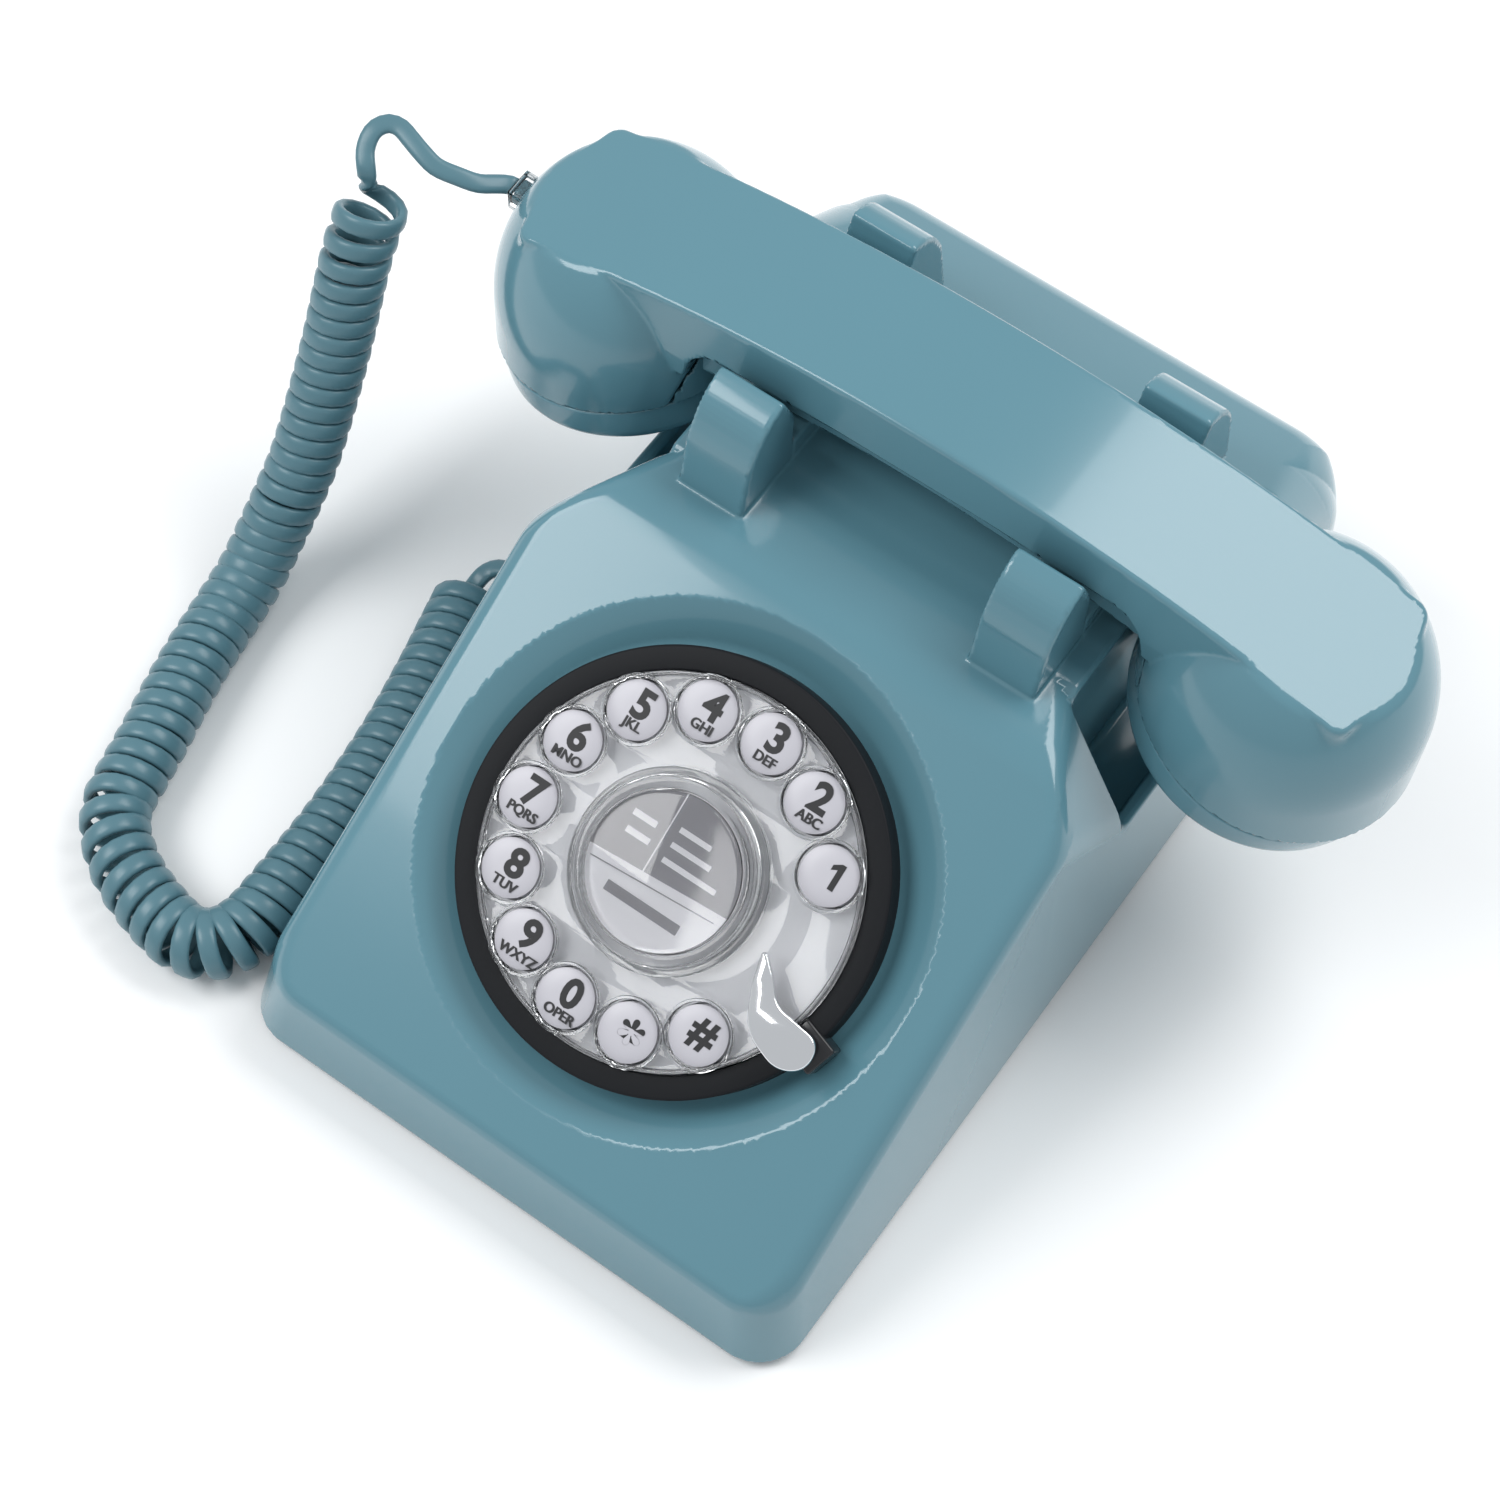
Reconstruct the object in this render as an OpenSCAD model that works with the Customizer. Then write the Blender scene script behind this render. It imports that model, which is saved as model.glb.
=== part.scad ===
// Push-button desk telephone with a rotary-style dial face, four cradle horns,
// an arched handset lying across them and a curly handset cord.
// Origin: middle of the footprint on the table. +X is the user's right, +Y the back.

/* [Case] */
// Width of the case at the table
case_w = 149.5; // [148:0.5:152]
// Depth of the case at the table
case_d = 243; // [242:0.5:245]
// Wall of the moulded shells
wall = 2.5; // [2:0.1:3]
// Height of the deck under the handset
deck_z = 90; // [89:0.5:91]
// Half-width of the deck between the side pockets
deck_half = 53; // [51:0.1:53.5]
// Height of the lip outside each side pocket
pocket_lip_z = 50; // [48:0.5:51]

/* [Dial] */
// Tilt of the dial face from level, degrees
dial_tilt = 29.6; // [29:0.1:30]
// Middle of the dial, front to back
dial_y = -56; // [-57:0.5:-55]
// Height of the dial's middle on the case
dial_z = 59; // [58.5:0.5:59.5]
// Radius of the dish round the dial
dish_r = 59.8; // [58:0.1:61]
// Radius of the dark bezel ring
ring_r = 49.2; // [48:0.1:50]
// Radius of the circle that the keys stand on
key_circle = 35.7; // [35:0.1:36]
// Radius of a key
key_r = 6.7; // [6.4:0.1:6.8]
// Angle of the first key, counter-clockwise from the right, degrees
key_start = 30.8; // [29:0.1:32]
// Angle between keys, degrees
key_step = 25.7; // [25.2:0.1:25.8]

/* [Handset] */
// Half-length of the handle's flat top
grip_half = 111; // [110:0.5:112]
// Width of the handle's top
grip_w = 35; // [34:0.5:36]
// Height of the handle's top at its middle
grip_top = 122; // [121.5:0.5:123]
// Radius of the handle's arch
arch_r = 405; // [400:5:430]
// Distance of each cup from the middle
cup_x = 86.6; // [86.4:0.1:87.5]
// Radius of each cup at its rim
cup_r = 32.8; // [32:0.1:33]
// Height of the middle of each cup's rim
rim_z = 75.5; // [75:0.5:77]
// Lean of the rims and caps towards the handle, degrees
cup_tilt = 16; // [14:0.5:17]

/* [Cord] */
// Outer diameter of the curly part of the cord
coil_d = 16.6; // [15:0.1:17]
// Diameter of the straight leads
lead_d = 4; // [3:0.1:4.4]

/* [Hidden] */
$fn = 64;
hull_fn = 28;
foot_h = 2;
plate_t = 3;
floor_z = foot_h + plate_t;
front_y = -case_d / 2;
rear_y = case_d / 2;
grip_y = 49.5;
shell_z = foot_h;

// ring of the dial stack, measured along the dial's own normal from the case's face
dish_depth = 5;
plate_top = 0.2;
wheel_bottom = 2.4;
wheel_top = 4.4;
key_top = 4.6;
hub_top = 7.6;
hub_r = 17.6;
opening_r = 44;
wheel_hole_r = 7.3;

// side pockets
pocket_y0 = 14.4;
pocket_y1 = 85;
pocket_floor = 40;
pocket_out = 68.8;

// horns: [x middle, width]
horn_x = 38;
horn_w = 17;

cap_h = 10.5;
dome_z = 82.2;
dome_r = 41.2;
saddle_z = 96.2;
plunger_top = 97.2;

// route of the handset cord, by hand: x, y, z
lead_out = [[-120.9, 49.5, 93], [-122.1, 49.4, 93.05], [-123.4, 48.5, 93.4], [-124.8, 47, 94],
    [-127.5, 44, 95.3],
            [-131.5, 42, 96.8], [-136.5, 40.5, 98], [-141, 41, 99.3], [-145, 42, 100.2],
            [-148.5, 42.8, 100.8], [-151.4, 41.8, 101], [-153, 38.6, 100.4], [-152.3, 34.6, 98.2],
            [-149.5, 31.2, 95.4]];
coil_route = [[-145, 28, 92], [-145, 20, 80], [-143.5, 7.5, 58], [-142, -7.5, 36], [-142, -16, 26],
              [-142.5, -24, 17], [-142, -33, 11], [-141, -44, 8.5], [-139, -56, 8.5],
              [-136.5, -67.5, 8.5], [-133.5, -79, 8.5], [-131, -90, 8.5], [-129, -98, 8.5],
              [-125, -104, 8.5], [-118.5, -109, 8.5], [-111, -112.5, 8.5], [-102, -115, 8.5],
              [-94.5, -116, 8.5], [-89, -114, 8.5], [-85.5, -109.5, 8.5], [-83.9, -103, 8.5],
              [-83.8, -95, 8.5], [-83.9, -86, 8.5], [-84.2, -76, 8.5], [-85, -66, 8.5],
              [-86.3, -55, 8.5], [-88, -44, 8.5], [-90, -34, 8.5], [-92, -25, 8.5],
              [-94, -17, 8.5], [-95.7, -10, 8.5], [-97, -4.5, 8.5]];
lead_in = [[-97.6, -1.6, 8.8], [-97, 1.5, 9.8], [-94.8, 3.6, 11.2], [-91, 4.2, 12.4],
           [-87, 3.4, 13], [-83, 3, 13], [-80, 3, 13]];

// ---------- helpers ----------

function unit(v) = v / norm(v);

// Points of an outline whose corners [x, y, radius] are rounded where the radius isn't 0.
function rounded(corners, steps = 6) = [
    for (i = [0 : len(corners) - 1])
        let (n = len(corners),
             a = [corners[(i + n - 1) % n][0], corners[(i + n - 1) % n][1]],
             b = [corners[i][0], corners[i][1]],
             c = [corners[(i + 1) % n][0], corners[(i + 1) % n][1]],
             r = corners[i][2])
        each (r == 0 ? [b] : corner_arc(a, b, c, r, steps))
];

function corner_arc(a, b, c, r, steps) =
    let (u = unit(a - b),
         v = unit(c - b),
         half = acos(u * v) / 2,
         centre = b + unit(u + v) * r / sin(half),
         first = b + u * r / tan(half) - centre,
         last = b + v * r / tan(half) - centre,
         start = atan2(first[1], first[0]),
         turn = atan2(last[1], last[0]) - start,
         sweep = turn > 180 ? turn - 360 : turn < -180 ? turn + 360 : turn)
    [for (k = [0 : steps]) centre + r * [cos(start + sweep * k / steps), sin(start + sweep * k / steps)]];

module on_dial() { translate([0, dial_y, dial_z]) rotate([dial_tilt, 0, 0]) children(); }

module disc(r, z0, z1) { translate([0, 0, z0]) cylinder(r = r, h = z1 - z0); }

module tube_of(r_out, r_in, z0, z1) {
    difference() {
        disc(r_out, z0, z1);
        disc(r_in, z0 - 1, z1 + 1);
    }
}

module block(low, high) { translate(low) cube(high - low); }

module both_sides() {
    children();
    mirror([1, 0, 0]) children();
}

// a plate in the YZ plane, from x0 to x1, whose outline is [y, z]
module side_plate(x0, x1, outline) {
    translate([x0, 0, 0]) rotate([90, 0, 90]) linear_extrude(x1 - x0) polygon(outline);
}

// a plate in the XZ plane, from y0 to y1, whose outline is [x, z]
module front_plate(y0, y1, outline) {
    translate([0, y1, 0]) rotate([90, 0, 0]) linear_extrude(y1 - y0) polygon(outline);
}

// Sweeps a round section along a route, one ring of `sides` points at each route point.
module swept_tube(route, d, sides) {
    n = len(route);
    tangents = [for (i = [0 : n - 1])
        unit(route[min(i + 1, n - 1)] - route[max(i - 1, 0)])];
    rings = [for (i = [0 : n - 1])
        let (side = unit(cross(tangents[i], [0.05, 0.1, 1])),
             up = cross(side, tangents[i]))
        for (k = [0 : sides - 1])
            route[i] + d / 2 * (cos(360 * k / sides) * side + sin(360 * k / sides) * up)];
    walls = [for (i = [0 : n - 2]) for (k = [0 : sides - 1])
        let (a = i * sides + k, b = i * sides + (k + 1) % sides)
        each [[a, b, b + sides], [a, b + sides, a + sides]]];
    start = [for (k = [sides - 1 : -1 : 0]) k];
    end = [for (k = [0 : sides - 1]) (n - 1) * sides + k];
    polyhedron(points = rings, faces = concat([start], walls, [end]), convexity = 10);
}

// ---------- case ----------

// The outer form of the case, drawn in by `inset` on every side.
module case_form(inset) {
    z0 = inset > 0 ? -1 : shell_z;
    hull() {
        both_sides() {
            translate([case_w / 2 - 15, front_y + 15, z0]) cylinder(r = 15 - inset, h = 2, $fn = hull_fn);
            translate([case_w / 2 - 20, rear_y - 20, z0]) cylinder(r = 20 - inset, h = 2, $fn = hull_fn);
            for (p = [[65.5, -61], [62.4, -66.5], [57, -69]])
                on_dial() translate([p[0], p[1], -5]) sphere(r = 5 - inset, $fn = hull_fn);
            on_dial() translate([65, 43.5, -5]) sphere(r = 5 - inset, $fn = hull_fn);
            on_dial() translate([deck_half - 5, 57, -5]) sphere(r = 5 - inset, $fn = hull_fn);
            translate([50, 79, deck_z - 8]) sphere(r = 8 - inset, $fn = hull_fn);
            translate([56, 103.5, 60]) sphere(r = 15 - inset, $fn = hull_fn);
        }
    }
}

// What the side pockets take away; `grow` thickens it for the walls behind.
module pocket_space(grow) {
    both_sides() {
        block([deck_half - grow, pocket_y0 - grow, pocket_lip_z - grow],
              [case_w, pocket_y1 + grow, deck_z + 20]);
        block([deck_half - grow, pocket_y0 - grow, pocket_floor - grow],
              [pocket_out + grow, pocket_y1 + grow, pocket_lip_z + 1]);
        // the slanting face behind each shoulder
        intersection() {
            block([30, -50, 20], [case_w, pocket_y0 + 0.5, deck_z + 20]);
            translate([70, -13.7, 83]) rotate([0, 64, 26.3]) block([-90, -90, -grow], [90, 90, 60]);
        }
    }
}

// One cradle horn's outline in the YZ plane: a leaning face, a rounded brow and a ramp to the grip.
horn_outline = rounded([[8.7, deck_z - 1, 0], [8.7, deck_z, 0], [12.3, 105, 14], [17.5, 114.5, 14],
                        [24.6, 117, 1], [29.4, 106, 2], [29.4, deck_z - 1, 0]]);

module horns() {
    both_sides() {
        for (back = [0, 1])
            translate([0, back * grip_y, 0]) mirror([0, back, 0]) translate([0, -back * grip_y, 0])
                side_plate(horn_x - horn_w / 2, horn_x + horn_w / 2, horn_outline);
        // the saddle that the grip lies on
        block([horn_x - horn_w / 2, 29, deck_z - 1], [horn_x + horn_w / 2, 2 * grip_y - 29, saddle_z]);
    }
}

boss_places = [[58, -103], [-58, -103], [57, 98], [-57, 98]];

module bosses() {
    intersection() {
        case_form(1);
        for (p = boss_places) translate([p[0], p[1], floor_z + 0.1]) cylinder(r = 4.5, h = 100);
    }
}

module dial_housing() { on_dial() disc(dish_r + 3, -dish_depth - wall, 20); }

module body_shell() {
    color("cadetblue") difference() {
        union() {
            difference() {
                case_form(0);
                difference() {
                    case_form(wall);
                    dial_housing();
                    pocket_space(wall);
                }
                pocket_space(0);
                block([-case_w, front_y - 1, -5], [case_w, rear_y + 1, shell_z]);
            }
            horns();
            bosses();
        }
        // dish and opening of the dial
        on_dial() {
            translate([0, 0, -dish_depth]) cylinder(r1 = 50.2, r2 = dish_r, h = dish_depth);
            disc(50.2, -dish_depth, 1);
            disc(dish_r, 0, 20);
            disc(opening_r, -40, 1);
        }
        // slots of the hook plungers
        both_sides() block([horn_x - 3.2, grip_y - 5.2, 60], [horn_x + 3.2, grip_y + 5.2, 110]);
        for (p = boss_places) translate([p[0], p[1], 0]) cylinder(r = 1.25, h = 16);
        // windows for the jacks and the ringer switch
        block([-case_w, -3.6, 7.4], [-60, 9.6, 18.6]);
        block([22.4, rear_y - 8, 6.4], [37.6, rear_y + 5, 19.6]);
        block([-36, rear_y - 8, 10.4], [-24, rear_y + 5, 15.6]);
    }
}

module plate_outline(inset) {
    polygon(rounded([
        [-case_w / 2 + inset, front_y + inset, 12], [case_w / 2 - inset, front_y + inset, 12],
        [case_w / 2 - inset, rear_y - inset, 18], [-case_w / 2 + inset, rear_y - inset, 18]]));
}

speaker_at = [0, 92];
foot_places = [[56, -92], [-56, -92], [56, 86], [-56, 86]];

module base_plate() {
    color("dimgray") difference() {
        union() {
            translate([0, 0, foot_h]) linear_extrude(plate_t) plate_outline(wall + 0.7);
            for (x = [-40, 40], y = [-42, 38]) translate([x, y, floor_z]) cylinder(r = 3, h = 7);
            translate([speaker_at[0], speaker_at[1], floor_z]) tube_of(22, 20.3, 0, 6);
            block([-9, grip_y - 9, floor_z], [9, grip_y - 8, 16]);
            block([-9, grip_y + 8, floor_z], [9, grip_y + 9, 16]);
        }
        for (p = boss_places) translate([p[0], p[1], 0]) {
            cylinder(r = 1.7, h = 10);
            cylinder(r = 3.2, h = foot_h + 1.6);
        }
        // sound slots under the speaker
        for (x = [-12 : 6 : 12])
            block([x - 1, speaker_at[1] - 14, 0], [x + 1, speaker_at[1] + 14, floor_z + 0.5]);
    }
}

module rubber_feet() {
    color("black") for (p = foot_places)
        translate([p[0], p[1], 0]) cylinder(r = 7, h = foot_h);
}

module base_screws() {
    color("silver") for (p = boss_places) translate([p[0], p[1], 0]) {
        translate([0, 0, foot_h + 0.1]) cylinder(r = 2.9, h = 1.5);
        translate([0, 0, foot_h + 1.6]) cylinder(r = 1.25, h = 11);
    }
}

module ballast_weight() {
    color("gray") block([-32, -106, floor_z], [32, -72, floor_z + 7]);
}

board_z = floor_z + 7;

module main_board() {
    color("seagreen") difference() {
        block([-48, -50, board_z], [48, 46, board_z + 1.6]);
        block([-10, grip_y - 11, 0], [10, grip_y + 5, 30]);
    }
}

module speaker() {
    color("black") translate([speaker_at[0], speaker_at[1], floor_z]) {
        disc(20, 0.2, 3);
        translate([0, 0, 3]) cylinder(r1 = 18, r2 = 11, h = 8);
        disc(13, 11, 17);
    }
}

// Two plungers that the handset presses, joined by one bar inside the case.
module hook_plungers() {
    color("cadetblue") {
        both_sides() block([horn_x - 2.8, grip_y - 4.8, 78], [horn_x + 2.8, grip_y + 4.8, plunger_top]);
        block([-horn_x - 2.8, grip_y - 4.8, 74], [horn_x + 2.8, grip_y + 4.8, 78]);
        block([-3, grip_y - 3, 26], [3, grip_y + 3, 74]);
        // the arm over the switch
        block([-2, grip_y + 3, 26], [2, grip_y + 15.5, 28]);
        block([-2, grip_y + 11.5, 20.4], [2, grip_y + 15.5, 26]);
    }
}

// The return spring of the hook switch, as the sleeve that its coils fill.
module hook_spring() {
    color("silver") translate([0, grip_y, floor_z]) disc(3.6, 0, 21);
}

module hook_switch() {
    color("black") {
        block([-8, grip_y + 9, floor_z], [8, grip_y + 18, 19]);
        block([-1.5, grip_y + 12, 19], [1.5, grip_y + 15, 20.1]);
    }
}

// A modular jack: a block with its socket open along +Z of its own frame.
module jack(width, height, depth, socket_w, socket_h) {
    difference() {
        block([-width / 2, -height / 2, 0], [width / 2, height / 2, depth]);
        block([-socket_w / 2, -socket_h / 2, 2], [socket_w / 2, socket_h / 2, depth + 1]);
    }
}

module line_jack() {
    color("black") translate([30, rear_y - 16.6, 13]) rotate([-90, 0, 0]) jack(15, 13, 16, 9.7, 7);
}

jack_y = 3;
jack_z = 13;

module handset_jack() {
    color("black") translate([-59, jack_y, jack_z]) rotate([0, -90, 0]) jack(11, 13, 14.9, 6.8, 8);
}

module ringer_switch() {
    color("black") difference() {
        block([-38, rear_y - 14, 8], [-22, rear_y - 5, 18]);
        block([-34.6, rear_y - 12, 11], [-25.4, rear_y, 15]);
    }
}

module ringer_knob() {
    color("dimgray") block([-34, rear_y - 11.8, 11.3], [-30, rear_y - 1.2, 14.7]);
}

// ---------- dial ----------

stop_angle = -18;

module dial_ring() {
    color("#3a383c") on_dial() difference() {
        tube_of(ring_r, 43.6, -dish_depth, 3);
        rotate([0, 0, stop_angle]) block([40, -4.2, -10], [60, 4.2, 10]);
    }
}

module on_key(i) { rotate([0, 0, key_start + i * key_step]) translate([key_circle, 0, 0]) children(); }

module dial_plate() {
    color("gainsboro") on_dial() difference() {
        disc(43.4, plate_top - 2, plate_top);
        for (i = [0 : 11]) on_key(i) disc(key_r + 0.3, -10, 10);
        disc(hub_r + 0.3, -10, 10);
        for (a = [90, 210, 330]) rotate([0, 0, a]) translate([22, 0, 0]) disc(1.1, -10, 10);
    }
}

module finger_wheel() {
    color("white") on_dial() difference() {
        union() {
            disc(42, wheel_bottom, wheel_top);
            tube_of(43.4, 41.4, plate_top, wheel_top);
            tube_of(22.8, 20.9, plate_top, wheel_top);
        }
        for (i = [0 : 11]) on_key(i) disc(wheel_hole_r, plate_top - 1, 10);
        disc(20.8, -10, 10);
    }
}

module hub_ring() { color("silver") on_dial() tube_of(20.6, hub_r + 0.3, plate_top, hub_top); }

module key_cap(i) {
    color("whitesmoke") on_dial() on_key(i) {
        disc(key_r, -2.8, key_top - 0.6);
        translate([0, 0, key_top - 0.6]) cylinder(r1 = key_r, r2 = key_r - 0.8, h = 0.6);
        disc(key_r + 1.1, -3.8, -2.8);
        disc(1.6, -5.2, -3.8);
    }
}

module key_1() { key_cap(0); }
module key_2() { key_cap(1); }
module key_3() { key_cap(2); }
module key_4() { key_cap(3); }
module key_5() { key_cap(4); }
module key_6() { key_cap(5); }
module key_7() { key_cap(6); }
module key_8() { key_cap(7); }
module key_9() { key_cap(8); }
module key_0() { key_cap(9); }
module key_star() { key_cap(10); }
module key_hash() { key_cap(11); }

// The big middle key: a cup, a printed disc and a clear cover.
module speaker_key() {
    color("whitesmoke") on_dial() {
        disc(hub_r, -2.8, hub_top - 1);
        disc(hub_r + 1.4, -3.8, -2.8);
        disc(2, -5.2, -3.8);
    }
}
module speaker_label() { color("#8e8c91") on_dial() disc(hub_r - 0.3, hub_top - 1, hub_top - 0.7); }
module speaker_lens() { color("white") on_dial() disc(hub_r, hub_top - 0.7, hub_top + 1.2); }

module keypad_membrane() {
    color("lightgray") on_dial() difference() {
        union() {
            disc(42, -9.2, -8.2);
            for (i = [0 : 11]) on_key(i) disc(3.4, -8.2, -6.9);
            disc(4, -8.2, -6.9);
        }
        rotate([0, 0, stop_angle]) block([43, -8, -10], [60, 8, 0]);
    }
}

module keypad_board() { color("seagreen") on_dial() disc(42.5, -10.8, -9.2); }

// outline of the finger stop, seen along the dial's normal, from its tip round its heel
stop_outline = rounded([[27.6, -2.4, 0.5], [28.9, -2.4, 0.5], [32.4, -5.6, 6], [36.6, -10.6, 6],
                        [48.6, -12, 4], [49.2, -18.5, 5], [44, -22.6, 7], [33.6, -19, 10],
                        [29.4, -9.5, 10]]);

module redial_key() {
    color("silver") on_dial() {
        translate([0, 0, 6.6]) linear_extrude(1.8) polygon(stop_outline);
        rotate([0, 0, stop_angle]) block([45.6, -2, -2], [48.6, 2, 6.6]);
    }
}

module stop_block() {
    color("#2c2b2f") on_dial() rotate([0, 0, stop_angle]) difference() {
        union() {
            block([43.7, -4, -dish_depth], [50, 4, 4]);
            block([49, -4, -3.3], [53, 4, 4]);
        }
        block([45.4, -2.2, -dish_depth + 1.2], [48.8, 2.2, 10]);
    }
}

// ---------- handset ----------

grip_under = 101;
under_r = 250;
under_half = 86;
end_corner_x = 105.8;
socket_z = 93;
handset_screw_x = 25.8;
skirt_z = 107.4;
cover_half_w = 16.2;
skirt_end_x = 57.5;

function arch_points(r, top, x0, x1, steps) = [
    for (i = [0 : steps]) let (x = x0 + (x1 - x0) * i / steps) [x, top - r + sqrt(r * r - x * x)]];

// The handle's bar, `inset` inside its faces, between two arched faces.
module grip_bar(inset, top, under) {
    intersection() {
        front_plate(grip_y - 40, grip_y + 40, concat(
            arch_points(arch_r, top - inset, -grip_half + inset, grip_half - inset, 24),
            arch_points(under_r, under + inset, under_half, -under_half, 24)));
        side_plate(-200, 200, [
            [grip_y - grip_w / 2 - 2.2 + inset, 60], [grip_y + grip_w / 2 + 2.2 - inset, 60],
            [grip_y + grip_w / 2 + 2.2 - inset, 100], [grip_y + grip_w / 2 - inset, grip_top + 5],
            [grip_y - grip_w / 2 + inset, grip_top + 5], [grip_y - grip_w / 2 - 2.2 + inset, 100]]);
        translate([0, grip_y, 50]) linear_extrude(100) polygon(rounded([
            for (c = [[-1, -1, 4], [1, -1, 4], [1, 0, 30], [1, 1, 4], [-1, 1, 4], [-1, 0, 30]])
                [c[0] * ((c[1] == 0 ? grip_half : end_corner_x) - inset),
                 c[1] * (grip_w / 2 + 3 - inset), c[2]]]));
    }
}

// Puts its children in the right cup's frame: the rim at 0, the axis leaning outwards.
module at_cup() { translate([cup_x, grip_y, rim_z]) rotate([0, cup_tilt, 0]) children(); }

// The right cup's outside: an upright dome, cut by the leaning rim and by the handle's top.
module cup_form(inset) {
    intersection() {
        translate([cup_x, grip_y, 0]) rotate_extrude() polygon(concat(
            [[0, 55], [cup_r - inset, 55]],
            [for (k = [0 : 8]) let (a = 70 * k / 8)
                [cup_r - dome_r + (dome_r - inset) * cos(a), dome_z + (dome_r - inset) * sin(a)]],
            [[0, 125]]));
        front_plate(grip_y - 60, grip_y + 60, concat(
            arch_points(arch_r, grip_top - 0.05 - inset, 30, grip_half + 12, 12),
            [[grip_half + 12, 50], [30, 50]]));
        at_cup() translate([-60, -60, inset > 0 ? -1 : 0]) cube([120, 120, 80]);
    }
}

module handset_form(inset) {
    union() {
        grip_bar(inset, grip_top, grip_under);
        both_sides() cup_form(inset);
    }
}

// What belongs to the grip's cover: everything below the skirts and between the cups.
module cover_space(gap) {
    front_plate(grip_y - 60, grip_y + 60, rounded([
        [-63 + gap, 60, 0], [63 - gap, 60, 0], [63 - gap, 80, 0], [skirt_end_x - gap, 105.6 - gap, 9],
        [20, skirt_z - gap, 60], [-20, skirt_z - gap, 60], [gap - skirt_end_x, 105.6 - gap, 9],
        [gap - 63, 80, 0]]));
}

// The cover's bar, narrower than the skirts that it slips between.
module cover_bar(inset) {
    intersection() {
        grip_bar(inset, skirt_z + 1.5, grip_under);
        block([0.2 - skirt_end_x, grip_y - cover_half_w + inset, 60],
              [skirt_end_x - 0.2, grip_y + cover_half_w - inset, 130]);
    }
}

module at_handset_screws() { for (x = [-1, 1]) translate([x * handset_screw_x, grip_y, 0]) children(); }

module handset_top_shell() {
    color("cadetblue") difference() {
        union() {
            difference() {
                handset_form(0);
                handset_form(wall);
                cover_space(0);
            }
            intersection() {
                grip_bar(1, grip_top, grip_under);
                at_handset_screws() disc(3.5, 106.3, 120);
            }
        }
        at_handset_screws() disc(1.25, 100, 115);
        // the cord socket's window
        block([-cup_x - cup_r - 5, grip_y - 5, socket_z - 4.2], [-108, grip_y + 5, socket_z + 4.2]);
    }
}

module handset_grip_cover() {
    color("cadetblue") difference() {
        union() {
            difference() {
                union() {
                    cover_bar(0);
                    intersection() {
                        both_sides() cup_form(0);
                        cover_space(0.1);
                    }
                }
                cover_bar(wall);
                both_sides() cup_form(wall);
                block([-55, grip_y - cover_half_w + wall, 104], [55, grip_y + cover_half_w - wall, 130]);
            }
            intersection() {
                cover_bar(1);
                at_handset_screws() disc(4.5, 90, 106);
            }
        }
        at_handset_screws() {
            disc(3, 90, 102.6);
            disc(1.5, 90, 110);
        }
    }
}

// A cap that closes a cup: a shallow dish with a ring of sound holes.
// The right cup's cap, with its sound holes.
module cup_cap() {
    at_cup() difference() {
        rotate_extrude() polygon(rounded([
            [0, -cap_h, 0], [cup_r - 6, -cap_h, 4], [cup_r, 4 - cap_h, 4], [cup_r, 0, 0],
            [cup_r - 3, 0, 0], [cup_r - 3, 3.4 - cap_h, 0], [0, 3.4 - cap_h, 0]]));
        for (a = [0 : 45 : 315]) rotate([0, 0, a]) translate([8, 0, -cap_h - 1]) cylinder(r = 1.1, h = 6);
        translate([0, 0, -cap_h - 1]) cylinder(r = 1.1, h = 6);
    }
}

module ear_cap() { color("cadetblue") mirror([1, 0, 0]) cup_cap(); }
module mouth_cap() { color("cadetblue") cup_cap(); }

module receiver_capsule() {
    color("gray") mirror([1, 0, 0]) at_cup() translate([0, 0, 3.6 - cap_h]) {
        disc(20, 0, 5);
        disc(13, 5, 9);
    }
}

module microphone_capsule() {
    color("gray") at_cup() translate([0, 0, 3.6 - cap_h]) {
        disc(6, 0, 5);
        disc(4.8, 5, 7);
    }
}

module handset_weight() { color("gray") block([-21, grip_y - 12, 108], [21, grip_y + 12, 115]); }

module handset_screws() {
    color("silver") at_handset_screws() {
        disc(2.6, 101, 102.6);
        disc(1.25, 102.6, 114);
    }
}

module handset_socket() {
    color("black") translate([-97, grip_y, socket_z]) rotate([0, -90, 0])
        jack(11, 11, 14, 6.8, 8);
}

// ---------- handset cord ----------

// A clear modular plug: its body along +X, its leading end at x = 0.
module modular_plug(length) {
    block([0, -3.8, -3.1], [length, 3.8, 3.1]);
    block([1, -1.6, 3.1], [length - 3, 1.6, 3.3]);
}

module handset_plug() {
    color("white") translate([-120.5, grip_y, socket_z]) modular_plug(14.3);
}

module base_plug() {
    color("white") translate([-80, jack_y, jack_z]) modular_plug(14.3);
}

module cord_lead_handset() {
    color("cadetblue") swept_tube(concat(lead_out, [coil_route[0]]), lead_d, 8);
}

module cord_coil() { color("cadetblue") swept_tube(coil_route, coil_d, 12); }

module cord_lead_base() {
    color("cadetblue") swept_tube(concat([coil_route[len(coil_route) - 1]], lead_in), lead_d, 8);
}

// ---------- drawing ----------

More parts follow.
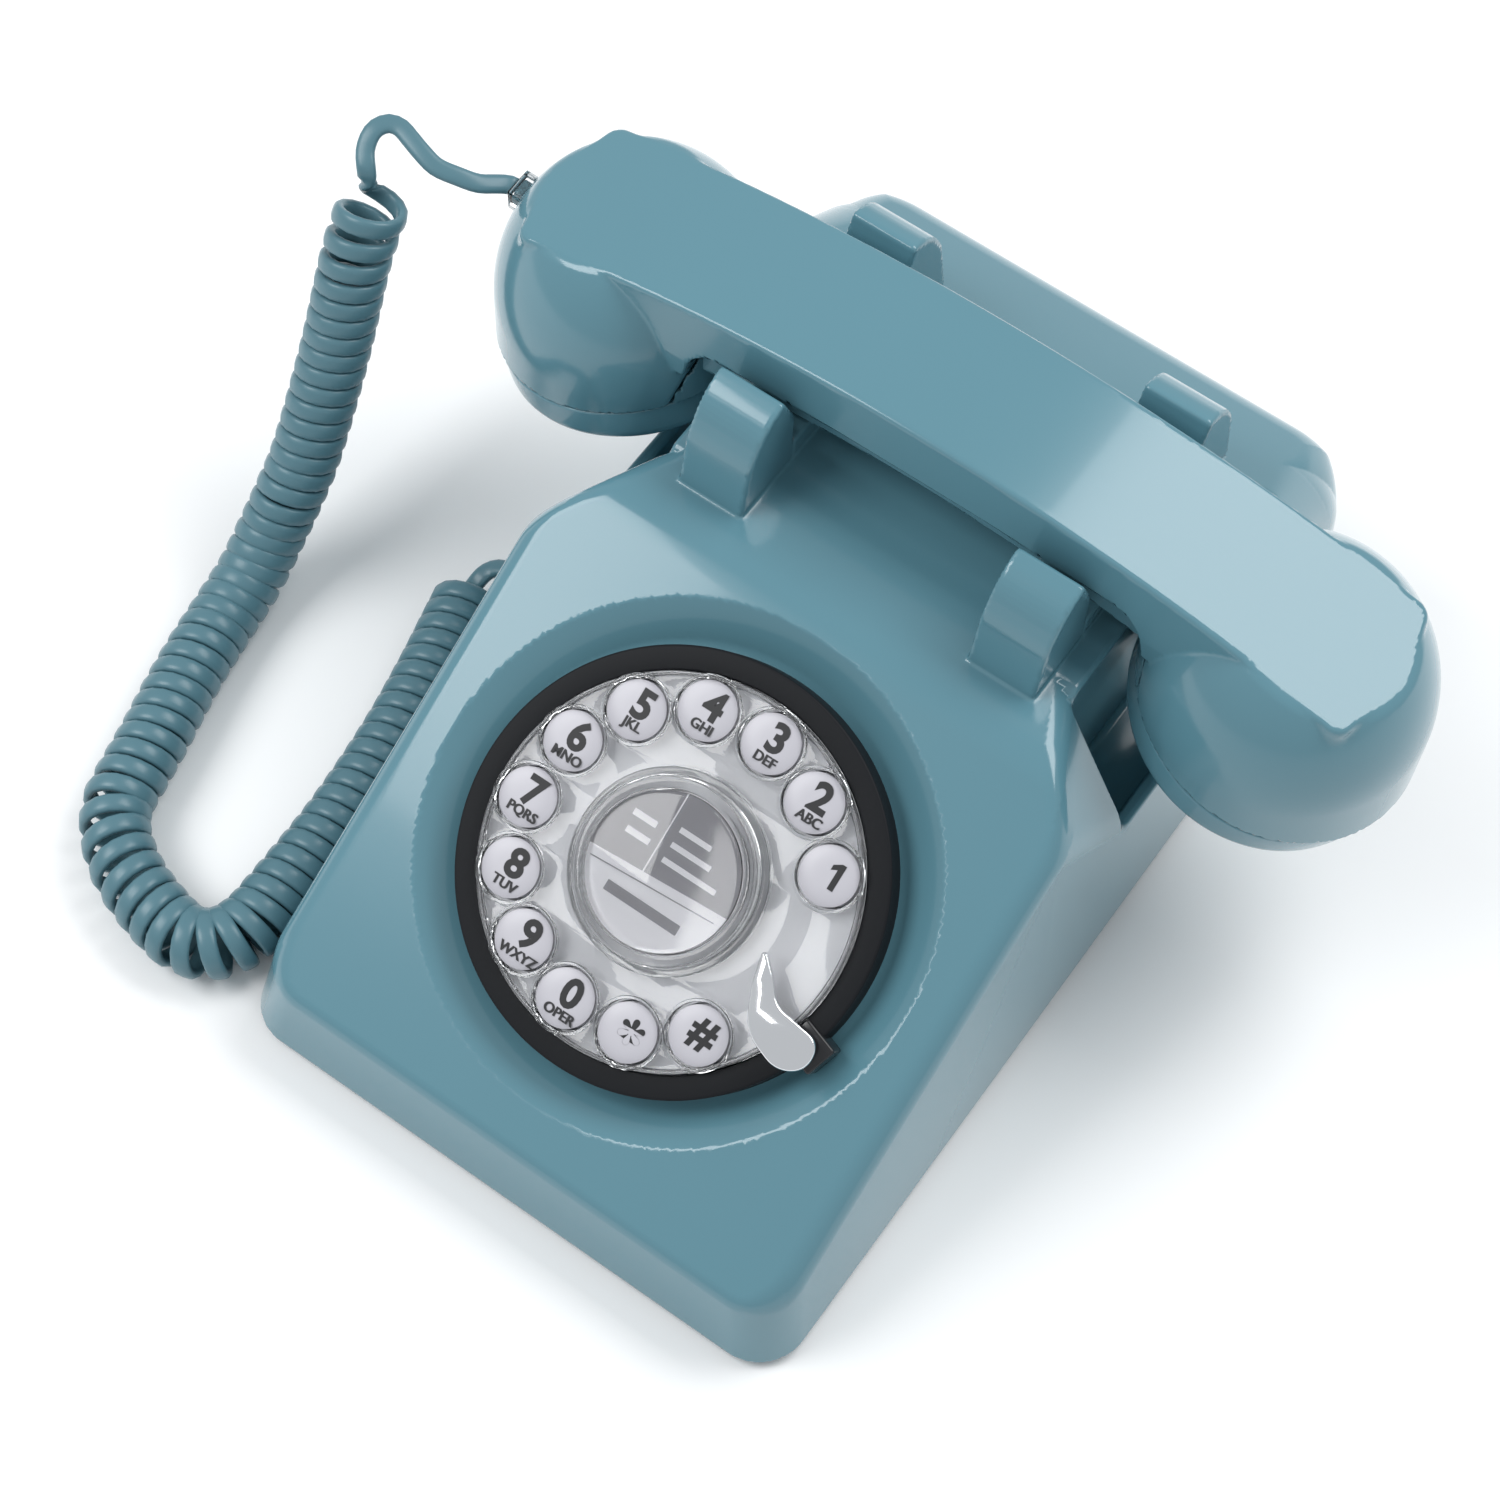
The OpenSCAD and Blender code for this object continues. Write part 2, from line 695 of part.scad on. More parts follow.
body_shell();
base_plate();
rubber_feet();
base_screws();
ballast_weight();
main_board();
speaker();
hook_plungers();
hook_spring();
hook_switch();
line_jack();
handset_jack();
ringer_switch();
ringer_knob();
dial_ring();
dial_plate();
finger_wheel();
hub_ring();
keypad_board();
keypad_membrane();
redial_key();
stop_block();
key_1();
key_2();
key_3();
key_4();
key_5();
key_6();
key_7();
key_8();
key_9();
key_0();
key_star();
key_hash();
speaker_key();
speaker_label();
speaker_lens();
handset_top_shell();
handset_grip_cover();
ear_cap();
mouth_cap();
receiver_capsule();
microphone_capsule();
handset_weight();
handset_screws();
handset_socket();
handset_plug();
cord_lead_handset();
cord_coil();
cord_lead_base();
base_plug();
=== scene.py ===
"""The looks of the push-button desk telephone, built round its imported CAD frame.

Lengths in this file are millimetres; MM turns them into metres."""

import math

import bmesh
import bpy
import numpy as np
from mathutils import Matrix, Vector


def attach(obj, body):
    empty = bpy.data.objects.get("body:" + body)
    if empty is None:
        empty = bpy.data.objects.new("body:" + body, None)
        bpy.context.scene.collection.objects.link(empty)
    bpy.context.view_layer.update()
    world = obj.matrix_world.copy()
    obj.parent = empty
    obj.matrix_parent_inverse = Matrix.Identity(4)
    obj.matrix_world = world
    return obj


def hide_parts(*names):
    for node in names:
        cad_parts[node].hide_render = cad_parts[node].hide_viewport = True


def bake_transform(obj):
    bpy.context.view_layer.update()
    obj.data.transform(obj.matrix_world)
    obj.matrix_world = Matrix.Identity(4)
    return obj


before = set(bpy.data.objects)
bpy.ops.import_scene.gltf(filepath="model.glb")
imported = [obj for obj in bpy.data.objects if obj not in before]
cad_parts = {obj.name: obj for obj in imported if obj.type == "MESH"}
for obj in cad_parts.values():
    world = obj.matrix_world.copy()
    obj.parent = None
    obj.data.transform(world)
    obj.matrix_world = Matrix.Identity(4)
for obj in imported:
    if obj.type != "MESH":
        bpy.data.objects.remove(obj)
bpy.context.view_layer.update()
scene = bpy.context.scene
MM = 0.001


def added(name, data):
    """A new object of the scene."""
    o = bpy.data.objects.new(name, data)
    scene.collection.objects.link(o)
    return o



# ---------------------------------------------------------------- camera

CAMERA_AZ, CAMERA_EL, CAMERA_ROLL = math.radians(32.0), math.radians(62.6), math.radians(3.7)
AIM = Vector((0, -56, 47.7))
DISTANCE, SHIFT_RIGHT, SHIFT_UP = 742.0, 14.9, 32.6


def add_camera():
    back = Vector((math.sin(CAMERA_AZ) * math.cos(CAMERA_EL), -math.cos(CAMERA_AZ) * math.cos(CAMERA_EL),
                   math.sin(CAMERA_EL)))
    right = Vector((math.cos(CAMERA_AZ), math.sin(CAMERA_AZ), 0))
    up = back.cross(right)
    x_axis = right * math.cos(CAMERA_ROLL) + up * math.sin(CAMERA_ROLL)
    y_axis = up * math.cos(CAMERA_ROLL) - right * math.sin(CAMERA_ROLL)
    place = AIM + back * DISTANCE + right * SHIFT_RIGHT + up * SHIFT_UP
    camera = added("camera", bpy.data.cameras.new("camera"))
    turn = Matrix((x_axis, y_axis, back)).transposed().to_4x4()
    camera.matrix_world = Matrix.Translation(place * MM) @ turn
    camera.data.sensor_width = 36
    camera.data.lens = 81.26
    camera.data.clip_start, camera.data.clip_end = 0.01, 20
    scene.camera = camera


add_camera()

# ---------------------------------------------------------------- materials


def material(name, color, rough=0.3, rough_spread=0.05, shade=0.03, bump=0.02, bump_scale=900.0, coat=0.0,
             metal=0.0, transmission=0.0, ior=1.46, spec=0.5):
    """A shader whose colour, roughness and surface vary a little over the piece."""
    m = bpy.data.materials.new(name)
    m.use_nodes = True
    nodes, links = m.node_tree.nodes, m.node_tree.links
    p = nodes["Principled BSDF"]
    place = nodes.new("ShaderNodeTexCoord")
    broad = nodes.new("ShaderNodeTexNoise")
    broad.inputs["Scale"].default_value = 18
    broad.inputs["Detail"].default_value = 3
    links.new(place.outputs["Object"], broad.inputs["Vector"])
    fine = nodes.new("ShaderNodeTexNoise")
    fine.inputs["Scale"].default_value = bump_scale
    fine.inputs["Detail"].default_value = 2
    links.new(place.outputs["Object"], fine.inputs["Vector"])
    ramp = nodes.new("ShaderNodeMix")
    ramp.data_type = "RGBA"
    ramp.inputs["A"].default_value = [c * (1 - shade) for c in color] + [1]
    ramp.inputs["B"].default_value = [min(1, c * (1 + shade)) for c in color] + [1]
    links.new(broad.outputs["Fac"], ramp.inputs["Factor"])
    links.new(ramp.outputs["Result"], p.inputs["Base Color"])
    spread = nodes.new("ShaderNodeMapRange")
    spread.inputs["To Min"].default_value = max(0, rough - rough_spread)
    spread.inputs["To Max"].default_value = rough + rough_spread
    links.new(broad.outputs["Fac"], spread.inputs["Value"])
    links.new(spread.outputs["Result"], p.inputs["Roughness"])
    if bump:
        b = nodes.new("ShaderNodeBump")
        b.inputs["Strength"].default_value = bump
        b.inputs["Distance"].default_value = 0.0002
        links.new(fine.outputs["Fac"], b.inputs["Height"])
        links.new(b.outputs["Normal"], p.inputs["Normal"])
    p.inputs["Metallic"].default_value = metal
    p.inputs["Coat Weight"].default_value = coat
    p.inputs["Coat Roughness"].default_value = 0.06
    p.inputs["Transmission Weight"].default_value = transmission
    p.inputs["IOR"].default_value = ior
    p.inputs["Specular IOR Level"].default_value = spec
    return m


TEAL = material("teal_gloss", (0.100, 0.232, 0.285), rough=0.17, rough_spread=0.02, shade=0.02, bump=0.01,
                coat=0.35)
CORD = material("cord_teal", (0.085, 0.185, 0.225), rough=0.33, rough_spread=0.05, shade=0.05, bump=0.05)
RING = material("ring_black", (0.008, 0.009, 0.011), rough=0.55, shade=0.08, bump=0.12, spec=0.2)
GLOSS_BLACK = material("black_gloss", (0.018, 0.018, 0.02), rough=0.2, shade=0.08, bump=0.03)
MATT_BLACK = material("black_matt", (0.03, 0.03, 0.033), rough=0.6, shade=0.1, bump=0.2)
PLATE = material("plate_grey", (0.90, 0.90, 0.93), rough=0.28, shade=0.02, bump=0.02)
KEY = material("key_grey", (0.50, 0.49, 0.53), rough=0.3, shade=0.03, bump=0.03)
INK = material("ink_black", (0.012, 0.012, 0.014), rough=0.45, shade=0.1, bump=0.02)
LABEL_GREY = material("label_grey", (0.27, 0.262, 0.285), rough=0.4, shade=0.03, bump=0.02)
LABEL_WHITE = material("label_white", (0.90, 0.885, 0.92), rough=0.4, shade=0.02, bump=0.02)
CHROME = material("chrome", (0.86, 0.86, 0.88), rough=0.06, rough_spread=0.02, shade=0.01, bump=0.0,
                  metal=1.0)
STEEL = material("steel", (0.55, 0.55, 0.56), rough=0.35, shade=0.05, bump=0.1, metal=1.0)
CLEAR = material("clear", (0.97, 0.975, 0.98), rough=0.03, rough_spread=0.01, shade=0.01, bump=0.0,
                 transmission=1.0, ior=1.49)
RUBBER = material("rubber", (0.035, 0.035, 0.036), rough=0.75, shade=0.1, bump=0.3)
BASE = material("base_grey", (0.045, 0.048, 0.052), rough=0.55, shade=0.08, bump=0.25)
BOARD = material("board_green", (0.02, 0.12, 0.05), rough=0.4, shade=0.1, bump=0.1)
KNOB = material("knob_grey", (0.25, 0.25, 0.26), rough=0.45, shade=0.05, bump=0.1)
FLOOR = material("floor", (0.93, 0.93, 0.93), rough=0.55, shade=0.005, bump=0.02, bump_scale=60)

CAD_LOOKS = {
    "base_plate": BASE, "rubber_feet": RUBBER, "base_screws": STEEL, "ballast_weight": STEEL,
    "main_board": BOARD, "speaker": MATT_BLACK, "hook_plungers": TEAL, "hook_spring": STEEL,
    "hook_switch": MATT_BLACK, "line_jack": MATT_BLACK, "handset_jack": MATT_BLACK,
    "ringer_switch": MATT_BLACK, "ringer_knob": KNOB, "keypad_board": BOARD, "keypad_membrane": RUBBER,
    "receiver_capsule": STEEL, "microphone_capsule": STEEL, "handset_weight": STEEL,
    "handset_screws": STEEL, "handset_socket": MATT_BLACK,
}
for cad_name, look in CAD_LOOKS.items():
    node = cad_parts[cad_name]
    node.data.materials.clear()
    node.data.materials.append(look)

# ---------------------------------------------------------------- making pieces


def placed(o, body, stands_for=()):
    """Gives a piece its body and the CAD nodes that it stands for."""
    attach(o, body)
    if stands_for:
        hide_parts(*stands_for)
    return o


def mesh_object(name, points, faces, look, smooth=True):
    mesh = bpy.data.meshes.new(name)
    mesh.from_pydata((np.asarray(points, float) * MM).tolist(), [], faces)
    mesh.materials.append(look)
    mesh.polygons.foreach_set("use_smooth", [smooth] * len(mesh.polygons))
    return added(name, mesh)


def piece(name, points, faces, look, body, stands_for=(), slot=None, normals=None, smooth=True):
    o = mesh_object(name, points, faces, look, smooth)
    if normals is not None:
        o.data.normals_split_custom_set_from_vertices(normals)
    return placed(o, body, stands_for)


def applied(o):
    """Puts the object's modifiers into its mesh."""
    graph = bpy.context.evaluated_depsgraph_get()
    mesh = bpy.data.meshes.new_from_object(o.evaluated_get(graph))
    o.modifiers.clear()
    o.data = mesh
    return o


def mend(o):
    """Merges points that coincide and turns every face outwards."""
    work = bmesh.new()
    work.from_mesh(o.data)
    bmesh.ops.remove_doubles(work, verts=work.verts, dist=1e-6)
    bmesh.ops.recalc_face_normals(work, faces=work.faces)
    work.to_mesh(o.data)
    work.free()


def shade(o, angle):
    """Smooth shading, with an edge where faces meet at more than the angle."""
    o.data.polygons.foreach_set("use_smooth", [True] * len(o.data.polygons))
    o.data.set_sharp_from_angle(angle=math.radians(angle))
    return o


def soften(o, width=0.3, segments=2, angle=35):
    bevel = o.modifiers.new("bevel", "BEVEL")
    bevel.width, bevel.segments = width * MM, segments
    bevel.limit_method, bevel.angle_limit = "ANGLE", math.radians(angle)
    bevel.harden_normals = False
    return shade(applied(o), 40)


def box(low, high):
    """Points and faces of an upright box."""
    (x0, y0, z0), (x1, y1, z1) = low, high
    points = [(x, y, z) for z in (z0, z1) for x, y in ((x0, y0), (x1, y0), (x1, y1), (x0, y1))]
    faces = [(3, 2, 1, 0), (4, 5, 6, 7)] + [(k, (k + 1) % 4, (k + 1) % 4 + 4, k + 4) for k in range(4)]
    return points, faces


def lathe(profile, steps=128, closed=False):
    """Points and faces of a profile [(r, w), ...] turned round the w axis. Where r is 0 the ends close."""
    points, faces = [], []
    n = len(profile)
    for k in range(steps):
        a = 2 * math.pi * k / steps
        points += [(r * math.cos(a), r * math.sin(a), w) for r, w in profile]
    for k in range(steps):
        a, b = k * n, (k + 1) % steps * n
        for i in range(n if closed else n - 1):
            j = (i + 1) % n
            faces.append((a + i, b + i, b + j, a + j))
    if not closed:
        if profile[0][0] > 0:
            faces.append(tuple(k * n for k in range(steps))[::-1])
        if profile[-1][0] > 0:
            faces.append(tuple(k * n + n - 1 for k in range(steps)))
    return points, faces


def rounded(corners, steps=6):
    """An outline whose corners (x, y, radius) are rounded where the radius isn't 0."""
    out = []
    for i, (x, y, r) in enumerate(corners):
        b = np.array((x, y), float)
        if r == 0:
            out.append(tuple(b))
            continue
        a, c = (np.array(corners[(i + s) % len(corners)][:2], float) for s in (-1, 1))
        u, v = (a - b) / np.linalg.norm(a - b), (c - b) / np.linalg.norm(c - b)
        half = math.acos(max(-1, min(1, float(u @ v)))) / 2
        middle = b + (u + v) / np.linalg.norm(u + v) * r / math.sin(half)
        first, last = b + u * r / math.tan(half) - middle, b + v * r / math.tan(half) - middle
        start = math.atan2(first[1], first[0])
        sweep = (math.atan2(last[1], last[0]) - start + math.pi) % (2 * math.pi) - math.pi
        out += [tuple(middle + r * np.array((math.cos(start + sweep * k / steps),
                                             math.sin(start + sweep * k / steps))))
                for k in range(steps + 1)]
    return out


def mesh_of(curve):
    """The mesh of a curve or of a text."""
    o = added(curve.name + "_curve", curve)
    graph = bpy.context.evaluated_depsgraph_get()
    mesh = bpy.data.meshes.new_from_object(o.evaluated_get(graph))
    bpy.data.objects.remove(o)
    return mesh


def cut_plate(name, outlines, low, high, edge, look, body, matrix, stands_for=()):
    """A plate of closed outlines, the first outside and the others holes, with rounded edges."""
    curve = bpy.data.curves.new(name, "CURVE")
    curve.dimensions, curve.fill_mode = "2D", "BOTH"
    curve.extrude = ((high - low) / 2 - edge) * MM
    curve.bevel_depth, curve.bevel_resolution, curve.offset = edge * MM, 2, -edge * MM
    for outline in outlines:
        s = curve.splines.new("POLY")
        s.points.add(len(outline) - 1)
        s.points.foreach_set("co", [c for x, y in outline for c in (x * MM, y * MM, 0, 1)])
        s.use_cyclic_u = True
    mesh = mesh_of(curve)
    mesh.transform(matrix @ Matrix.Translation((0, 0, (low + high) / 2 * MM)))
    mesh.materials.clear()
    mesh.materials.append(look)
    made = added(name, mesh)
    mend(made)
    return placed(shade(made, 35), body, stands_for)


def ring_of(x, y, r, steps=48):
    return [(x + r * math.cos(2 * math.pi * k / steps), y + r * math.sin(2 * math.pi * k / steps))
            for k in range(steps)]


# ---------------------------------------------------------------- solids as fields
# Each field gives the distance in mm from points to a surface, negative inside.


def fillet(a, b, r, c=0.0):
    """What is inside both a and b, its edge rounded to radius r; c is the cosine between their normals."""
    a, b = a + r, b + r
    m = np.maximum(a, b)
    both = (b > a * c) & (a > b * c) & (m > 0)
    d = np.sqrt(np.maximum(a * a + b * b - 2 * a * b * c, 0) / (1 - c * c))
    return np.where(both, d, m) - r


def join(a, b, r):
    return -fillet(-a, -b, r)


def outline_field(x, y, points):
    best, inside = None, np.zeros(x.shape, bool)
    for (x0, y0), (x1, y1) in zip(points, points[1:] + points[:1]):
        ex, ey, wx, wy = x1 - x0, y1 - y0, x - x0, y - y0
        t = np.clip((wx * ex + wy * ey) / (ex * ex + ey * ey), 0, 1)
        d = (wx - ex * t) ** 2 + (wy - ey * t) ** 2
        best = d if best is None else np.minimum(best, d)
        if y0 != y1:
            inside ^= ((y0 <= y) != (y1 <= y)) & (ex * wy / ey + x0 > x)
    return np.where(inside, -1, 1) * np.sqrt(best)


def slope(f, p):
    e = 0.03
    return np.stack([(f(p + d) - f(p - d)) / (2 * e) for d in np.eye(3) * e], 1)


def net(f, low, high, h):
    """Points, faces and normals of a field's surface, with one point in each grid cell that it crosses."""
    low = np.array(low, float)
    n = np.ceil((np.array(high, float) - low) / h).astype(int) + 1
    value = np.empty(n, np.float32)
    block = 10
    starts = [np.arange(0, k, block) for k in n]
    corner = np.stack(np.meshgrid(*starts, indexing="ij"), -1).reshape(-1, 3)
    middle = f(low + h * (corner + (block - 1) / 2))
    for (i, j, k), d in zip(corner, middle):
        s = (slice(i, i + block), slice(j, j + block), slice(k, k + block))
        if abs(d) > h * block * 1.1:
            value[s] = d
            continue
        axes = [low[a] + h * np.arange(q, min(q + block, n[a])) for a, q in enumerate((i, j, k))]
        grid = np.stack(np.meshgrid(*axes, indexing="ij"), -1)
        value[s] = f(grid.reshape(-1, 3)).reshape(grid.shape[:3])
    inside = value < 0
    steps = [(a, b, c) for a in (0, 1) for b in (0, 1) for c in (0, 1)]
    count = sum(inside[a:n[0] - 1 + a, b:n[1] - 1 + b, c:n[2] - 1 + c].astype(np.int8) for a, b, c in steps)
    active = (count > 0) & (count < 8)
    cells = np.argwhere(active)
    index = np.full(active.shape, -1, np.int64)
    index[active] = np.arange(len(cells))
    corners = np.array([value[tuple((cells + s).T)] for s in steps], float)
    total, crossings = np.zeros((len(cells), 3)), np.zeros(len(cells))
    for a in range(8):
        for b in range(a + 1, 8):
            if sum(abs(np.subtract(steps[a], steps[b]))) != 1:
                continue
            va, vb = corners[a], corners[b]
            cross = (va < 0) != (vb < 0)
            t = np.where(cross, va / np.where(va == vb, 1, va - vb), 0)
            at = np.array(steps[a]) + t[:, None] * (np.array(steps[b]) - np.array(steps[a]))
            total += np.where(cross[:, None], at, 0)
            crossings += cross
    points = low + h * (cells + total / crossings[:, None])
    faces = []
    for axis in range(3):
        u, v = np.eye(3, dtype=int)[(axis + 1) % 3], np.eye(3, dtype=int)[(axis + 2) % 3]
        a = inside[tuple(slice(0, n[k] - (k == axis)) for k in range(3))]
        b = inside[tuple(slice(k == axis, None) for k in range(3))]
        edge = np.argwhere(a != b)
        keep = (edge[:, (axis + 1) % 3] >= 1) & (edge[:, (axis + 2) % 3] >= 1)
        keep &= (edge < np.array(active.shape)).all(1)
        edge = edge[keep]
        quad = np.stack([index[tuple((edge - s).T)] for s in (0 * u, u, u + v, v)], 1)
        quad = np.where(a[tuple(edge.T)][:, None], quad, quad[:, ::-1])
        faces.append(quad)
    faces = np.concatenate(faces)
    for _ in range(3):
        g = slope(f, points)
        size = np.maximum((g * g).sum(1), 0.05)
        move = -(f(points) / size)[:, None] * g
        far = np.maximum(np.linalg.norm(move, axis=1) / (0.5 * h), 1)
        points = points + move / far[:, None]
    g = slope(f, points)
    return points, faces.tolist(), g / np.maximum(np.linalg.norm(g, axis=1), 1e-9)[:, None]


# ---------------------------------------------------------------- the case

TILT = math.radians(29.6)
ST, CT = math.sin(TILT), math.cos(TILT)
DIAL = Matrix.Translation((0, -56 * MM, 59 * MM)) @ Matrix.Rotation(TILT, 4, "X")
WALL = 2.5
FINE = 0.95  # grid of the moulded shells


def on_dial(p):
    y, z = p[:, 1] + 56, p[:, 2] - 59
    return p[:, 0], y * CT + z * ST, -y * ST + z * CT


def mixed(a, b, width):
    """0 where a is well above b, 1 where b is well above a."""
    return np.clip((b - a) / width + 0.5, 0, 1)


# a front horn's side view, in y and z
HORN = rounded([(8.7, 86, 0), (12.3, 105, 14), (17.5, 114.5, 14), (24.6, 116.8, 1), (29.4, 106, 2),
                (29.4, 86, 0)], 8)
HORN_X, HORN_HALF, GRIP_Y = 38, 8.5, 49.5


def case_solid(p):
    """The case as a solid, with its pockets, horns and dish."""
    x, y, z = np.abs(p[:, 0]), p[:, 1], p[:, 2]
    u, v, w = on_dial(p)
    top_z = np.clip(59 + (y + 56) * math.tan(TILT), 24, 82)
    side = x - 74.75 + 4.25 * (z - 2) / (top_z - 2)
    front = (-121.5 + 0.161 * (z - 2) - y) * 0.987
    rear = y - 121.5 + 0.052 * (z - 2)
    walls = fillet(fillet(side, front, 12), rear, 19)
    deck = fillet(w, z - 90, 20, CT)
    top = fillet(deck, 0.494 * (y - 83) + 0.869 * (z - 89), 12, CT)
    edge_r = np.interp(y, (60, 100), (5, 15))
    edge_c = np.where(y < 0, 0.62 * mixed(side, front, 12), 0.54 * mixed(side, rear, 12))
    d = fillet(top, walls, edge_r, edge_c)
    # the slanting face behind each shoulder
    facet = (x - 70) * 0.806 + (y + 13.7) * 0.398 + (z - 83) * 0.438
    soft = mixed(top, side, 10)
    d = fillet(d, np.minimum(facet, 14.9 - y), 4 + 9 * soft, 0.18 + 0.64 * soft)
    # pockets under the cups
    ends = np.maximum(14.4 - y, y - 85)
    upper = fillet(fillet(53 - x, 50 - z, 1.5), ends, 2)
    lower = fillet(fillet(fillet(53 - x, 40 - z, 1.5), x - 68.8, 1.5), ends, 2)
    d = fillet(d, -np.minimum(upper, lower), 1.0)
    # horns and saddles
    near = (x > 20) & (x < 56) & (y > 0) & (y < 100) & (z > 80)
    if near.any():
        q = p[near]
        yy, zz = q[:, 1], q[:, 2]
        shape = np.minimum(outline_field(yy, zz, HORN), outline_field(2 * GRIP_Y - yy, zz, HORN))
        saddle = fillet(np.abs(yy - GRIP_Y) - 20.5, zz - 96.2, 0.8)
        shape = np.minimum(shape, saddle)
        d[near] = join(d[near], fillet(shape, np.abs(x[near] - HORN_X) - HORN_HALF, 0.8), 0.7)
    # dish round the dial
    r = np.hypot(u, v)
    dish = np.maximum(fillet((r - 50.2) * 0.462 - (w + 5) * 0.887, -(w + 5), 0.5), r - 66)
    return fillet(d, -dish, 0.9, 0.887)


def case_shell(p):
    x, y, z = p[:, 0], p[:, 1], p[:, 2]
    u, v, w = on_dial(p)
    solid = case_solid(p)
    d = fillet(fillet(solid, 2 - z, 1.0), -(solid + WALL), 0.3)
    d = fillet(d, -np.maximum(np.hypot(u, v) - 44, -(w + 40)), 0.5)
    plunger = np.maximum(np.maximum(np.abs(np.abs(x) - HORN_X) - 3.2, np.abs(y - GRIP_Y) - 5.2), 60 - z)
    handset = np.maximum(np.maximum(x + 60, np.abs(y - 3) - 6.6), np.abs(z - 13) - 5.6)
    line = np.maximum(np.maximum(np.abs(x - 30) - 7.6, 113.5 - y), np.abs(z - 13) - 6.6)
    ringer = np.maximum(np.maximum(np.abs(x + 30) - 6, 113.5 - y), np.abs(z - 13) - 2.6)
    for hole in (plunger, handset, line, ringer):
        d = fillet(d, -hole, 0.5)
    return d


points, faces, normals = net(case_shell, (-77, -124, 0), (77, 124, 119), FINE)
piece("case_shell", points, faces, TEAL, "case", ["body_shell"], "shell", normals)

# ---------------------------------------------------------------- the handset


CUP_X, CUP_R, RIM_Z = 86.6, 32.8, 75.5
LEAN = math.radians(16)
TOP_Z, TOP_ARCH, UNDER_Z, UNDER_ARCH = 122, 405, 101, 250
DOME_Z, DOME_R = 82.2, 41.2
SOCKET_Z = 93


def arch(x, height, radius):
    """Height of an arch that is highest in the middle."""
    return height - radius + np.sqrt(radius ** 2 - np.minimum(x, 200.0) ** 2)


# edge of the skirts beside the cover, in x and z
SKIRT = rounded([(-63, 60, 0), (63, 60, 0), (63, 80, 0), (57.5, 105.6, 9), (20, 107.4, 60), (-20, 107.4, 60),
                 (-57.5, 105.6, 9), (-63, 80, 0)], 8)


def dome(x, y, z):
    """A cup's upright outside."""
    r = np.hypot(x - CUP_X, y)
    return np.where(z > DOME_Z, np.hypot(r + DOME_R - CUP_R, z - DOME_Z) - DOME_R, r - CUP_R)


def above_rim(x, z):
    """Height over the leaning plane where a cup meets its cap."""
    return (x - CUP_X) * math.sin(LEAN) + (z - RIM_Z) * math.cos(LEAN)


def handset_solid(p):
    """The handle and both cups as one, without the hollow."""
    x, y, z = np.abs(p[:, 0]), np.abs(p[:, 1] - GRIP_Y), p[:, 2]
    top = (z - arch(x, TOP_Z, TOP_ARCH)) * 0.98
    side = (y - (17.5 + 2.2 * np.clip((127 - z) / 27, 0, 1))) * 0.997
    end = (x - 111) * 0.9693 + y * 0.2459
    bar = fillet(fillet(side, end, 4, 0.246), arch(x, UNDER_Z, UNDER_ARCH) - z, 1.0)
    return fillet(join(bar, dome(x, y, z), 0.5), top, 1.1)


def top_shell(p):
    x, z = np.abs(p[:, 0]), p[:, 2]
    solid = handset_solid(p)
    d = fillet(solid, -above_rim(x, z), 0.5)
    d = fillet(d, -(solid + WALL), 0.3)
    d = fillet(d, -outline_field(x, z, SKIRT), 0.5)
    window = np.maximum(np.maximum(p[:, 0] + 108, np.abs(p[:, 1] - GRIP_Y) - 5),
                        np.abs(z - SOCKET_Z) - 4.2)
    return fillet(d, -window, 0.5)


def grip_cover(p):
    """The darker, recessed underside between the cups."""
    x, y, z = np.abs(p[:, 0]), np.abs(p[:, 1] - GRIP_Y), p[:, 2]
    bar = fillet(fillet(y - 16.2, arch(x, UNDER_Z, UNDER_ARCH) - z, 1.0), x - 57.3, 0.3)
    cup = dome(x, y, z)
    cups = np.maximum(fillet(cup, -above_rim(x, z), 0.5), outline_field(x, z, SKIRT) + 0.2)
    d = fillet(join(bar, cups, 0.4), z - 108.9, 0.3)
    return fillet(d, -np.minimum(bar, cup) - WALL, 0.3)


points, faces, normals = net(top_shell, (-122, 14, 65), (122, 85, 124), FINE)
piece("handset_shell", points, faces, TEAL, "handset", ["handset_top_shell"], "shell", normals)
points, faces, normals = net(grip_cover, (-66, 14, 77), (66, 85, 111), FINE)
piece("handset_cover", points, faces, TEAL, "handset", ["handset_grip_cover"], "shell", normals)


